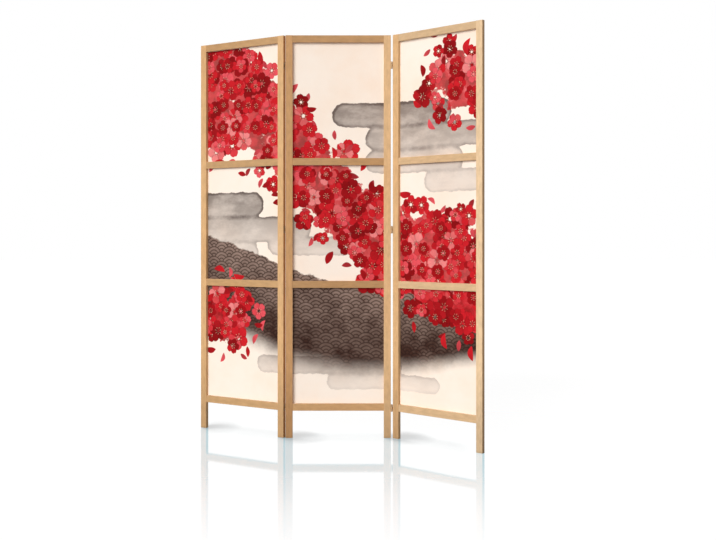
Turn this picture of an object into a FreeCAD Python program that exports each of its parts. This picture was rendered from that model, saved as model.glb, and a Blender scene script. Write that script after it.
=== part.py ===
import FreeCAD, Part
import math
import os
from collections import namedtuple

os.makedirs("parts", exist_ok=True)

# Three-panel wooden folding screen. Each panel is a softwood frame of two stiles and four rails,
# tenoned together, with one cloth sheet stapled in a rebate at its back. Three small butt hinges
# join each pair of panels by the edges of their stiles: the left fold has its barrels at the back,
# half let into the wood, and the right fold has them in front, so the screen closes like a letter Z.
#
# Millimetres. The front faces -Y, +X is the viewer's right and +Z is up.
# Every piece is first laid out with the three panels flat in one plane, where the middle panel's
# centre is X zero and the front faces are Y zero. The side panels are then folded about their pins,
# and the whole is moved so that the origin is at the bottom centre of its box.

# Panels
panel_width = 450.0
panel_height = 1720.0
frame_thickness = 16.0
left_fold_angle = 30.0
right_fold_angle = 40.0
left_fold_gap = 0.8

# Frame bars
stile_width = 30.0
top_rail_height = 30.0
cross_rail_height = 30.0
bottom_rail_height = 30.0
leg_length = 116.0
rail_setback = 1.0
edge_round = 1.0
cross_rail_names = ("lower_cross_rail", "upper_cross_rail")

# Mortises and tenons
tenon_length = 15.0
tenon_thickness = 6.0
tenon_setback = 5.0
tenon_shoulder = 4.0
top_haunch = 9.0
tenon_lead = 1.0
mortise_clearance = 0.1
mortise_end_gap = 0.5

# Cloth sheet in its rebate
rebate_width = 10.0
rebate_depth = 2.0
sheet_thickness = 0.6
sheet_edge_gap = 0.5

# Staples that hold the sheet
staple_crown = 10.0
staple_wire_width = 1.0
staple_wire_thickness = 0.6
staple_leg = 4.0
staple_edge_inset = 4.5
staple_pitch = 300.0

# Butt hinges
hinge_height = 30.0
hinge_end_distance = 128.5
middle_hinge_share = 0.517
leaf_thickness = 1.2
leaf_reach = 14.0
leaf_corner_cut = 1.5
knuckle_count = 3
knuckle_end_gap = 0.15
roll_seam = 0.3
notch_gap = 0.3
barrel_standoff = 1.0
let_in_axis_offset = 1.0
pocket_clearance = 0.2
barrel_clearance = 0.3
pin_radius = 1.75
pin_clearance = 0.05
pin_head_radius = 2.6
pin_head_height = 1.0
pin_crown_radius = 1.6

# Countersunk wood screws, two to a leaf
screw_length = 10.0
screw_shank_radius = 1.25
screw_head_radius = 2.4
screw_tip_length = 2.5
screw_tip_radius = 0.4
screw_spacing = 16.0
screw_edge_distance = 5.5
screw_clearance = 0.05
pilot_end_gap = 0.5
slot_width = 0.7
slot_depth = 0.8

# How far a cutting shape runs past the face that it opens
overrun = 0.5

# Flat sides that stand for the round of a pin, a screw and their holes, and of a knuckle's outside
turned_sides = 12
roll_sides = 20

# Places worked out from the sizes above
inner_width = panel_width - 2 * stile_width
frame_back = frame_thickness - rebate_depth
bottom_rail_top = leg_length + bottom_rail_height
top_rail_bottom = panel_height - top_rail_height
cross_rail_total = len(cross_rail_names) * cross_rail_height
opening_height = (top_rail_bottom - bottom_rail_top - cross_rail_total) / (len(cross_rail_names) + 1)
rebate_side = stile_width - rebate_width
rebate_bottom = bottom_rail_top - rebate_width
rebate_top = top_rail_bottom + rebate_width
sheet_left = rebate_side + sheet_edge_gap
sheet_right = panel_width - sheet_left
sheet_bottom = rebate_bottom + sheet_edge_gap
sheet_top = rebate_top - sheet_edge_gap
sheet_back = frame_back + sheet_thickness

bore_radius = pin_radius + pin_clearance
barrel_radius = bore_radius + leaf_thickness
axis_offset = barrel_radius + barrel_standoff
right_fold_gap = 2 * barrel_radius
plate_edge = -barrel_radius - notch_gap
screw_y = screw_edge_distance - leaf_reach
hinge_places = {
    "top": panel_height - hinge_end_distance,
    "middle": middle_hinge_share * panel_height,
    "bottom": hinge_end_distance,
}

half_turn = 180.0
side_turn = 2 * half_turn / turned_sides

Rail = namedtuple("Rail", "name bottom top back lower_shoulder upper_shoulder")
Fold = namedtuple("Fold", "side far_side gap angle axis_x axis_y turn")


def between(x_a, x_b, y_a, y_b, z_a, z_b):
    """A block that fills the space between two values on each axis, given in either order."""
    corner = FreeCAD.Vector(min(x_a, x_b), min(y_a, y_b), min(z_a, z_b))
    return Part.makeBox(abs(x_b - x_a), abs(y_b - y_a), abs(z_b - z_a), corner)


def long_edges(bar):
    """The four long edges of a straight bar."""
    return [edge for edge in bar.Edges if edge.Length > bar.BoundBox.DiagonalLength / 2]


def end_edges(bar):
    """The edges around the two ends of a straight bar."""
    return [edge for edge in bar.Edges if edge.Length < bar.BoundBox.DiagonalLength / 2]


def one_solid(shape):
    """The single solid that a boolean result holds, with its split faces joined."""
    return shape.removeSplitter().Solids[0]


def point_at(radius, angle):
    """A point on a circle about the origin in the XY plane, its angle in degrees."""
    turn = math.radians(angle)
    return FreeCAD.Vector(radius * math.cos(turn), radius * math.sin(turn), 0)


def polygon(points):
    """A flat face through the points."""
    return Part.Face(Part.makePolygon(points + points[:1]))


def turned(profile):
    """A small turned solid about Z, with flat sides, through rings of (corner radius, height)."""
    rings = []
    for radius, height in profile:
        lift = FreeCAD.Vector(0, 0, height)
        rings.append([point_at(radius, (side + 0.5) * side_turn) + lift for side in range(turned_sides)])
    faces = [polygon(rings[0]), polygon(rings[-1])]
    for lower, upper in zip(rings, rings[1:]):
        for side in range(turned_sides):
            faces.append(polygon([lower[side - 1], lower[side], upper[side], upper[side - 1]]))
    shell = Part.Shell(faces)
    shell.sewShape()
    solid = Part.Solid(shell)
    return solid if solid.Volume > 0 else solid.reversed()


def laid_along_x(shape, place):
    """A solid that was turned about Z, laid along +X from a place."""
    shape.rotate(FreeCAD.Vector(), FreeCAD.Vector(0, 1, 0), half_turn / 2)
    shape.translate(place)
    return shape


# Frame bars

def frame_rails():
    """The four rails of a panel from the bottom up, with their places and shoulders."""
    shoulders = (tenon_shoulder, tenon_shoulder)
    rails = [Rail("bottom_rail", leg_length, bottom_rail_top, frame_thickness, *shoulders)]
    bottom = bottom_rail_top + opening_height
    for name in cross_rail_names:
        top = bottom + cross_rail_height
        rails.append(Rail(name, bottom, top, frame_back, *shoulders))
        bottom = top + opening_height
    top_shoulders = (tenon_shoulder, top_haunch)
    rails.append(Rail("top_rail", top_rail_bottom, panel_height, frame_thickness, *top_shoulders))
    return rails


def tenon_space(rail, grown, x_a, x_b):
    """The block of a rail's tenon between two X values, grown on its faces by a clearance."""
    front = tenon_setback - grown
    back = tenon_setback + tenon_thickness + grown
    low = rail.bottom + rail.lower_shoulder - grown
    high = rail.top - rail.upper_shoulder + grown
    return between(x_a, x_b, front, back, low, high)


def rebate_space():
    """The shallow pocket at the back of the frame, which the sheet lies in."""
    back = frame_thickness + overrun
    return between(rebate_side, panel_width - rebate_side, frame_back, back, rebate_bottom, rebate_top)


def make_rail(rail):
    """A rail with eased long edges, a tenon at each end and its part of the sheet's rebate."""
    body = between(stile_width, stile_width + inner_width, rail_setback, rail.back, rail.bottom, rail.top)
    body = body.makeFillet(edge_round, long_edges(body))
    tenon = tenon_space(rail, 0, stile_width - tenon_length, stile_width + inner_width + tenon_length)
    tenon = tenon.makeChamfer(tenon_lead, end_edges(tenon))
    return one_solid(body.fuse(tenon).cut(rebate_space()))


def make_stile(outer_x, inner_x):
    """A stile with eased long edges, its part of the rebate and a blind mortise for each rail."""
    body = between(outer_x, inner_x, 0, frame_thickness, 0, panel_height)
    body = body.makeFillet(edge_round, long_edges(body)).cut(rebate_space())
    inward = math.copysign(1, inner_x - outer_x)
    mortise_end = inner_x - inward * (tenon_length + mortise_end_gap)
    for rail in frame_rails():
        body = body.cut(tenon_space(rail, mortise_clearance, mortise_end, inner_x + inward * overrun))
    return one_solid(body)


# Sheet and staples

def make_sheet():
    """The cloth sheet, flat in its rebate behind all the bars."""
    return between(sheet_left, sheet_right, frame_back, sheet_back, sheet_bottom, sheet_top)


def even_places(start, end):
    """Places along a line, about a staple pitch apart, each in the middle of an equal share of it."""
    count = max(1, round((end - start) / staple_pitch))
    step = (end - start) / count
    return [start + (place + 0.5) * step for place in range(count)]


def make_staple():
    """A staple with its crown along X and its legs towards the front, centred on X and Z."""
    half = staple_crown / 2
    inner = half - staple_wire_thickness
    crown_back = sheet_back + staple_wire_thickness
    tip = crown_back - staple_leg
    corners = [
        (-half, crown_back), (-half, tip), (-inner, tip), (-inner, sheet_back),
        (inner, sheet_back), (inner, tip), (half, tip), (half, crown_back),
    ]
    face = polygon([FreeCAD.Vector(x, y, -staple_wire_width / 2) for x, y in corners])
    return face.extrude(FreeCAD.Vector(0, 0, staple_wire_width))


def make_staples():
    """The staples of one panel: up both stiles and along every rail."""
    upright = FreeCAD.Rotation(FreeCAD.Vector(0, 1, 0), half_turn / 2)
    level = FreeCAD.Rotation()
    places = []
    for x in (sheet_left + staple_edge_inset, sheet_right - staple_edge_inset):
        places += [(x, z, upright) for z in even_places(sheet_bottom, sheet_top)]
    heights = [sheet_bottom + staple_edge_inset, sheet_top - staple_edge_inset]
    heights += [(rail.bottom + rail.top) / 2 for rail in frame_rails() if rail.name in cross_rail_names]
    for z in heights:
        places += [(x, z, level) for x in even_places(stile_width, stile_width + inner_width)]
    staples = []
    for x, z, rotation in places:
        staple = make_staple()
        staple.Placement = FreeCAD.Placement(FreeCAD.Vector(x, 0, z), rotation)
        staples.append(staple)
    return staples


# Hinges. Their own frame has the pin along Z, the wood towards -Y, the middle panel towards +X and
# the side panel towards -X, as they stand when the screen is flat.

def knuckle_spans(first):
    """The lower and upper ends of every second knuckle, from the one with the number given."""
    length = (hinge_height - (knuckle_count - 1) * knuckle_end_gap) / knuckle_count
    step = length + knuckle_end_gap
    low = -hinge_height / 2
    starts = [low + number * step for number in range(first, knuckle_count, 2)]
    return [(start, start + length) for start in starts]


def knuckle_profile():
    """The face of a rolled knuckle before it is bored: a strip that wraps round the pin up to a seam."""
    seam_x = bore_radius - roll_seam
    seam_angle = 2 * half_turn - math.degrees(math.acos(seam_x / barrel_radius))
    corners = [(seam_x, 0), (bore_radius, 0), (bore_radius, plate_edge), (barrel_radius, plate_edge)]
    roll = [point_at(barrel_radius, seam_angle * step / roll_sides) for step in range(roll_sides + 1)]
    return polygon([FreeCAD.Vector(x, y, 0) for x, y in corners] + roll)


def make_bore():
    """The hole for the pin, its flat sides just clear of the pin's corners."""
    corner = bore_radius / math.cos(math.radians(side_turn / 2))
    end = hinge_height / 2 + overrun
    return turned([(corner, -end), (corner, end)])


def screw_places():
    """The centres of a leaf's screws at its free face, on the +X side."""
    return [FreeCAD.Vector(bore_radius, screw_y, side * screw_spacing / 2) for side in (-1, 1)]


def make_screw_hole(place):
    """The countersunk hole for a screw, through the leaf and into the stile."""
    head = screw_head_radius + screw_clearance
    shank = screw_shank_radius + screw_clearance
    end = screw_length + pilot_end_gap
    return laid_along_x(turned([(head, -overrun), (head, 0), (shank, head - shank), (shank, end)]), place)


def make_screw(place):
    """A countersunk screw with a tapered end and a slot, its head level with the leaf."""
    cone = screw_head_radius - screw_shank_radius
    straight = screw_length - screw_tip_length
    screw = turned([
        (screw_head_radius, 0), (screw_shank_radius, cone), (screw_shank_radius, straight),
        (screw_tip_radius, screw_length),
    ])
    reach = screw_head_radius + overrun
    slot = between(-slot_width / 2, slot_width / 2, -reach, reach, -overrun, slot_depth)
    return laid_along_x(one_solid(screw.cut(slot)), place)


def make_leaf(first_knuckle):
    """A leaf on the +X side: a plate with two cut corners, its rolled knuckles and its screw holes."""
    half = hinge_height / 2
    cut = leaf_corner_cut
    corners = [
        (plate_edge, -half), (plate_edge, half), (cut - leaf_reach, half),
        (-leaf_reach, half - cut), (-leaf_reach, cut - half), (cut - leaf_reach, -half),
    ]
    plate = polygon([FreeCAD.Vector(bore_radius, y, z) for y, z in corners])
    leaf = plate.extrude(FreeCAD.Vector(leaf_thickness, 0, 0))
    for low, high in knuckle_spans(first_knuckle):
        knuckle = knuckle_profile().extrude(FreeCAD.Vector(0, 0, high - low))
        knuckle.translate(FreeCAD.Vector(0, 0, low))
        leaf = leaf.fuse(knuckle)
    for cutter in [make_bore()] + [make_screw_hole(place) for place in screw_places()]:
        leaf = leaf.cut(cutter)
    return one_solid(leaf)


def make_pin():
    """The hinge pin, with a head peened over each end of the barrel."""
    half = hinge_height / 2
    head = [(pin_crown_radius, half + pin_head_height), (pin_head_radius, half), (pin_radius, half)]
    foot = [(radius, -height) for radius, height in head]
    return turned(foot + head[::-1])


def make_leaf_pocket(gap):
    """The recess in a stile's edge for a leaf and, deeper and taller, for its half of the barrel."""
    start = gap / 2 - overrun
    half = hinge_height / 2 + pocket_clearance
    leaf_seat = between(start, barrel_radius, -leaf_reach - pocket_clearance, 0, -half, half)
    end = barrel_radius + barrel_clearance
    half += pin_head_height
    return leaf_seat.fuse(between(start, end, plate_edge, 0, -half, half))


def to_side(shape):
    """The same shape on the side panel's half of the hinge."""
    return shape.mirror(FreeCAD.Vector(), FreeCAD.Vector(1, 0, 0))


# Assembly

def make_panel(side, left_x):
    """The wooden pieces, the sheet and the staples of one panel, by name, at its place when flat."""
    pieces = {
        side + "_panel_left_stile": make_stile(0, stile_width),
        side + "_panel_right_stile": make_stile(panel_width, panel_width - stile_width),
        side + "_panel_print_sheet": make_sheet(),
        side + "_panel_staples": Part.makeCompound(make_staples()),
    }
    for rail in frame_rails():
        pieces[side + "_panel_" + rail.name] = make_rail(rail)
    for piece in pieces.values():
        piece.translate(FreeCAD.Vector(left_x, 0, 0))
    return pieces


def make_folds():
    """Both folds: the place of the pins' axis and how the hinges' own frame is turned there."""
    left_x = -panel_width / 2 - left_fold_gap / 2
    left_y = frame_thickness + let_in_axis_offset
    right_x = panel_width / 2 + right_fold_gap / 2
    return [
        Fold("left", "right", left_fold_gap, left_fold_angle, left_x, left_y, 0),
        Fold("right", "left", right_fold_gap, right_fold_angle, right_x, -axis_offset, half_turn),
    ]


def hinge_up(shape, fold, height):
    """A copy of a shape, moved from the hinge's own frame to a height on a fold."""
    placed = shape.copy()
    placed.rotate(FreeCAD.Vector(), FreeCAD.Vector(0, 0, 1), fold.turn)
    placed.translate(FreeCAD.Vector(fold.axis_x, fold.axis_y, height))
    return placed


def fit_hinges(fold, middle, side_panel):
    """Adds a fold's hinges and screws to its two panels and cuts their seats in the two stiles."""
    middle_stile = "middle_panel_" + fold.side + "_stile"
    side_stile = fold.side + "_panel_" + fold.far_side + "_stile"
    middle_leaf = make_leaf(0)
    side_leaf = to_side(make_leaf(1))
    cutters = [make_screw_hole(place) for place in screw_places()]
    if fold.gap < right_fold_gap:
        cutters.append(make_leaf_pocket(fold.gap))
    screws = [make_screw(place) for place in screw_places()]
    middle_screws = []
    side_screws = []
    for name, height in hinge_places.items():
        label = fold.side + "_fold_" + name + "_hinge_"
        middle[label + "middle_leaf"] = hinge_up(middle_leaf, fold, height)
        middle[label + "pin"] = hinge_up(make_pin(), fold, height)
        side_panel[label + fold.side + "_leaf"] = hinge_up(side_leaf, fold, height)
        middle_screws += [hinge_up(screw, fold, height) for screw in screws]
        side_screws += [hinge_up(to_side(screw), fold, height) for screw in screws]
        for cutter in cutters:
            middle[middle_stile] = middle[middle_stile].cut(hinge_up(cutter, fold, height))
            side_panel[side_stile] = side_panel[side_stile].cut(hinge_up(to_side(cutter), fold, height))
    middle[middle_stile] = one_solid(middle[middle_stile])
    side_panel[side_stile] = one_solid(side_panel[side_stile])
    middle[fold.side + "_fold_middle_screws"] = Part.makeCompound(middle_screws)
    side_panel[fold.side + "_fold_" + fold.side + "_screws"] = Part.makeCompound(side_screws)


def main():
    """Builds every piece flat, folds the side panels, centres the whole and writes one file a node."""
    panels = {
        "left": make_panel("left", -panel_width / 2 - left_fold_gap - panel_width),
        "middle": make_panel("middle", -panel_width / 2),
        "right": make_panel("right", panel_width / 2 + right_fold_gap),
    }
    folds = make_folds()
    for fold in folds:
        fit_hinges(fold, panels["middle"], panels[fold.side])
        centre = FreeCAD.Vector(fold.axis_x, fold.axis_y, 0)
        for piece in panels[fold.side].values():
            piece.rotate(centre, FreeCAD.Vector(0, 0, 1), -fold.angle)
    nodes = {name: piece for panel in panels.values() for name, piece in panel.items()}
    box = Part.makeCompound(list(nodes.values())).BoundBox
    origin = FreeCAD.Vector(box.Center.x, box.Center.y, box.ZMin)
    for name, piece in nodes.items():
        piece.translate(-origin)
        piece.exportStep("parts/" + name + ".step")
    print("nodes", len(nodes), "solids", sum(len(piece.Solids) for piece in nodes.values()))
    print("overall size", round(box.XLength, 2), round(box.YLength, 2), round(box.ZLength, 2))
    print("middle panel centre and front", round(-origin.x, 4), round(-origin.y, 4))
    for fold in folds:
        print(fold.side, "fold axis", round(fold.axis_x - origin.x, 4), round(fold.axis_y - origin.y, 4))


main()
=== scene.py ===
import logging
import math
from collections.abc import Callable
from dataclasses import dataclass
from enum import Enum

import bpy
import numpy as np
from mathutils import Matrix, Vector


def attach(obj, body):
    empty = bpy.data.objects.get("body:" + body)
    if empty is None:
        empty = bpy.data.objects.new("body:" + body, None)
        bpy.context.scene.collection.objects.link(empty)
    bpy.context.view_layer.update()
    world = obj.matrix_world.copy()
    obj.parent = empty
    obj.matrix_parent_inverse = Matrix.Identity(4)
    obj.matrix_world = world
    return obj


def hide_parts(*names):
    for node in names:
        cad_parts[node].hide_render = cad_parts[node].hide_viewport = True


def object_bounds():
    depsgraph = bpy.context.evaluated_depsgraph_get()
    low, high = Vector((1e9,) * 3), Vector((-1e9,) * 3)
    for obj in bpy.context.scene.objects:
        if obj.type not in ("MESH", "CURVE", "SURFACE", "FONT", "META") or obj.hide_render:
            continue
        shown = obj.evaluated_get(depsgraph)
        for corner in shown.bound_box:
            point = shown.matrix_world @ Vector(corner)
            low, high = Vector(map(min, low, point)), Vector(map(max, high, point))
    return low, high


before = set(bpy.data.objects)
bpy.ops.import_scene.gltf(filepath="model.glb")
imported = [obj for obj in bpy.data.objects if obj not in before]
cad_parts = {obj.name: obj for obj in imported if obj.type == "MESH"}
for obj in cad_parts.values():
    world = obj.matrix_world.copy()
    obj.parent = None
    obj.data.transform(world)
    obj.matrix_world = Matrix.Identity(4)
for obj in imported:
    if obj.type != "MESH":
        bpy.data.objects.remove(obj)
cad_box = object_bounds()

# Looks of a three-panel folding screen: pine frames, stretched printed cloth and small brass hinges.
# Metres. The front faces -Y, +X is the viewer's right and +Z is up, as in the frame.

log = logging.getLogger("folding_screen")

MILLIMETRE = 0.001
FULL_TURN = 2 * math.pi
SCREEN_KNEE = 0.04045
SCREEN_SLOPE = 12.92
SCREEN_OFFSET = 0.055
SCREEN_POWER = 2.4
STILES = ("left_stile", "right_stile")
RAILS = ("bottom_rail", "lower_cross_rail", "upper_cross_rail", "top_rail")


class Side(Enum):
    """The three panels, named from the viewer's left."""

    LEFT = "left"
    MIDDLE = "middle"
    RIGHT = "right"

    @property
    def body(self) -> str:
        """The name of the panel's body, with which the names of its pieces start."""
        return self.value + "_panel"


class Grain(Enum):
    """Which way the grain of a frame bar runs."""

    UPRIGHT = "upright"
    LEVEL = "level"


# Colours and fields

@dataclass(frozen=True)
class Tone:
    """A colour as it looks on a screen, each part from 0 to 255."""

    red: float
    green: float
    blue: float

    @property
    def linear(self) -> tuple[float, float, float, float]:
        """The same colour in the linear numbers that a shader takes.

        Up to a knee they are the screen's numbers over a slope, and above it a power of them.

        Returns:
            Red, green, blue and an opacity of one.
        """
        parts = np.array([self.red, self.green, self.blue]) / 255
        low = parts / SCREEN_SLOPE
        high = ((parts + SCREEN_OFFSET) / (1 + SCREEN_OFFSET)) ** SCREEN_POWER
        red, green, blue = np.where(parts <= SCREEN_KNEE, low, high).tolist()
        return (red, green, blue, 1.0)


@dataclass(frozen=True)
class Noise:
    """A soft noise: its features to the metre, how many finer layers it has and how strong they are."""

    scale: float
    detail: float = 2.0
    roughness: float = 0.5


class Field:
    """A value that a material works out at every shaded point. Arithmetic on it adds nodes."""

    def __init__(self, graph: "Graph", socket: bpy.types.NodeSocket) -> None:
        """Keeps the graph and the output socket that the value comes from."""
        self.graph = graph
        self.socket = socket

    def __add__(self, other: "Field | float") -> "Field":
        """The sum."""
        return self.graph.math("ADD", self, other)

    __radd__ = __add__

    def __sub__(self, other: "Field | float") -> "Field":
        """The difference."""
        return self.graph.math("SUBTRACT", self, other)

    def __rsub__(self, other: float) -> "Field":
        """The difference from a plain number."""
        return self.graph.math("SUBTRACT", other, self)

    def __mul__(self, other: "Field | float") -> "Field":
        """The product."""
        return self.graph.math("MULTIPLY", self, other)

    __rmul__ = __mul__

    def __truediv__(self, other: "Field | float") -> "Field":
        """The quotient."""
        return self.graph.math("DIVIDE", self, other)

    def __abs__(self) -> "Field":
        """The size without its sign."""
        return self.graph.math("ABSOLUTE", self)

    def floor(self) -> "Field":
        """The whole number below."""
        return self.graph.math("FLOOR", self)

    def fraction(self) -> "Field":
        """What is above the whole number below."""
        return self.graph.math("FRACT", self)

    def sine(self) -> "Field":
        """The sine of the value in radians."""
        return self.graph.math("SINE", self)

    def cosine(self) -> "Field":
        """The cosine of the value in radians."""
        return self.graph.math("COSINE", self)

    def least(self, other: "Field | float") -> "Field":
        """The smaller of the two."""
        return self.graph.math("MINIMUM", self, other)

    def most(self, other: "Field | float") -> "Field":
        """The larger of the two."""
        return self.graph.math("MAXIMUM", self, other)

    def below(self, other: "Field | float") -> "Field":
        """One where this is less than the other, and nothing elsewhere."""
        return self.graph.math("LESS_THAN", self, other)

    def ramp(self, start: float, end: float) -> "Field":
        """A smooth step from nothing at start to one at end, which may be the smaller number."""
        return self.graph.ramp(self, start, end)


Inputs = dict[int | str, object]


@dataclass
class Graph:
    """A material's node tree, with a short method for each kind of node that the finishes use."""

    tree: bpy.types.NodeTree

    def feed(self, node: bpy.types.Node, inputs: Inputs) -> None:
        """Links a node's inputs to where their values come from, or sets them to constants.

        Args:
            node: The node.
            inputs: For each input's name or number, a field, an output socket, a tone or a plain value.
        """
        for name, value in inputs.items():
            if isinstance(value, Field):
                self.tree.links.new(value.socket, node.inputs[name])
            elif isinstance(value, bpy.types.NodeSocket):
                self.tree.links.new(value, node.inputs[name])
            elif isinstance(value, Tone):
                node.inputs[name].default_value = value.linear
            else:
                node.inputs[name].default_value = value

    def add(self, kind: str, inputs: Inputs, **settings: object) -> bpy.types.Node:
        """Adds a shader node.

        Args:
            kind: The node's type without its ShaderNode prefix.
            inputs: What its inputs are fed with, by their names or numbers.
            settings: Options to set on the node.

        Returns:
            The new node.
        """
        node = self.tree.nodes.new("ShaderNode" + kind)
        for name, value in settings.items():
            setattr(node, name, value)
        self.feed(node, inputs)
        return node

    def value(self, kind: str, inputs: Inputs, output: int | str = 0, **settings: object) -> Field:
        """Adds a shader node, as add does, and gives one of its outputs."""
        return Field(self, self.add(kind, inputs, **settings).outputs[output])

    def math(self, operation: str, *values: Field | float) -> Field:
        """One step of arithmetic on up to three values, by the Math node's name for it."""
        return self.value("Math", dict(enumerate(values)), operation=operation)

    def ramp(self, value: Field, start: float, end: float) -> Field:
        """A smooth step of a value between two marks, kept from nothing to one.

        Args:
            value: The value.
            start: Where the step is nothing.
            end: Where the step is one. It may be the smaller number.

        Returns:
            The step.
        """
        low, high = (start, end) if start < end else (end, start)
        inputs = {"Value": value, "From Min": low, "From Max": high}
        step = self.value("MapRange", inputs, "Result", interpolation_type="SMOOTHSTEP", clamp=True)
        return step if start < end else 1.0 - step

    def vector(self, x: Field | float, y: Field | float, z: Field | float = 0.0) -> Field:
        """Puts three numbers together as a vector."""
        return self.value("CombineXYZ", {0: x, 1: y, 2: z})

    def split(self, vector: Field) -> tuple[Field, Field, Field]:
        """Takes a vector apart."""
        node = self.add("SeparateXYZ", {0: vector})
        return tuple(Field(self, socket) for socket in node.outputs)

    def length(self, x: Field, y: Field) -> Field:
        """How far a point lies from the origin: the root of the sum of its distances' squares."""
        return self.value("VectorMath", {0: self.vector(x, y)}, "Value", operation="LENGTH")

    def turned(self, x: Field, y: Field, angle: Field | float) -> tuple[Field, Field]:
        """The point x, y turned about the origin by an angle in radians, against the clock."""
        inputs = {"Vector": self.vector(x, y), "Angle": angle}
        return self.split(self.value("VectorRotate", inputs, rotation_type="Z_AXIS"))[:2]

    def noise(self, point: Field, kind: Noise) -> Field:
        """A soft noise, read at a point, about one half."""
        inputs = {"Vector": point, "Scale": kind.scale, "Detail": kind.detail, "Roughness": kind.roughness}
        return self.value("TexNoise", inputs, noise_dimensions="3D")

    def chance(self, point: Field) -> tuple[Field, Field, Field]:
        """Three random numbers from nothing to one, always the same for the same point."""
        return self.split(self.value("TexWhiteNoise", {"Vector": point}, "Color", noise_dimensions="3D"))

    def mix(self, share: Field | float, first: Field | Tone, second: Field | Tone) -> Field:
        """Mixes two colours, by the share of the second, which is held from nothing to one."""
        return self.value("Mix", {0: share, 6: first, 7: second}, 2, data_type="RGBA", clamp_factor=True)

    def shade(self, colour: Field, level: Field) -> Field:
        """Makes a colour lighter or darker, by what each of its parts is multiplied by."""
        inputs = {0: 1.0, 6: colour, 7: self.vector(level, level, level)}
        return self.value("Mix", inputs, 2, data_type="RGBA", blend_type="MULTIPLY")

    def bump(self, height: Field, depth: float, strength: float = 1.0) -> Field:
        """The normal, tilted by a height from nothing to one that stands for a depth in metres."""
        return self.value("Bump", {"Strength": strength, "Distance": depth, "Height": height})

    def layer(self, name: str, paint: "Painter", across: Field, up: Field, ground: Field) -> Field:
        """Paints over a ground in a node group of its own, which keeps each tree small.

        Args:
            name: The group's name.
            paint: What paints, from a graph, a place across and up, and a ground.
            across: Where on the print, to the right.
            up: Where on the print, upwards.
            ground: The colour below.

        Returns:
            The painted colour.
        """
        tree = bpy.data.node_groups.new(name, "ShaderNodeTree")
        for part, kind in (("across", "Float"), ("up", "Float"), ("ground", "Color")):
            tree.interface.new_socket(part, in_out="INPUT", socket_type="NodeSocket" + kind)
        tree.interface.new_socket("painted", in_out="OUTPUT", socket_type="NodeSocketColor")
        inner = Graph(tree)
        entry = tree.nodes.new("NodeGroupInput")
        painted = paint(inner, *[Field(inner, entry.outputs[number]) for number in range(3)])
        inner.feed(tree.nodes.new("NodeGroupOutput"), {0: painted})
        return self.value("Group", {0: across, 1: up, 2: ground}, node_tree=tree)

    def coat(self, inputs: Inputs) -> None:
        """Ends a material with a Principled shader that is fed with these inputs."""
        shader = self.add("BsdfPrincipled", inputs)
        self.add("OutputMaterial", {"Surface": shader.outputs[0]})


Painter = Callable[[Graph, Field, Field, Field], Field]
# Where a smooth step is nothing, and where it is one.
Rise = tuple[float, float]


@dataclass(frozen=True)
class Blend:
    """A sum of fields: a base, and a weight for each field."""

    base: float
    weights: tuple[float, ...]

    def of(self, *parts: Field) -> Field:
        """The base plus each field times its weight.

        Args:
            parts: The fields, as many as there are weights.

        Returns:
            The sum.
        """
        total: Field | float = self.base
        for part, weight in zip(parts, self.weights, strict=True):
            total = part * weight + total
        return total


def empty_graph(holder: bpy.types.Material | bpy.types.World) -> Graph:
    """Empties the node tree of a new material or world.

    Args:
        holder: The material or world.

    Returns:
        The graph of its tree.
    """
    holder.use_nodes = True
    holder.node_tree.nodes.clear()
    return Graph(holder.node_tree)


def new_material(name: str) -> tuple[bpy.types.Material, Graph]:
    """Makes an empty material, and gives it with its graph."""
    material = bpy.data.materials.new(name)
    return material, empty_graph(material)


# Finishes of the hard pieces

@dataclass(frozen=True)
class Plank:
    """The wood picked for one bar: its level about one, its shares of amber and pale colour, and its edge
    shade.

    The level and the shares give the bar its own tone and also painted light and shade, as they follow how
    brightly each bar looks lit. The edge shade is how much darker the panel's outer edges are painted than
    the faces.
    """

    level: float
    amber_and_shade_share: float = 0.0
    pale_and_light_share: float = 0.0
    # Painted shade: how much darker the panel's outer edges are painted.
    painted_edge_shade: float = 0.12


@dataclass(frozen=True)
class WoodPoint:
    """The shaded point in a bar's wood, with the ripple there and the numbers drawn for the bar."""

    along: Field
    side: Field
    through: Field
    ripple: Field
    seed: int
    pith_angle: float
    knot_side: float


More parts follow.
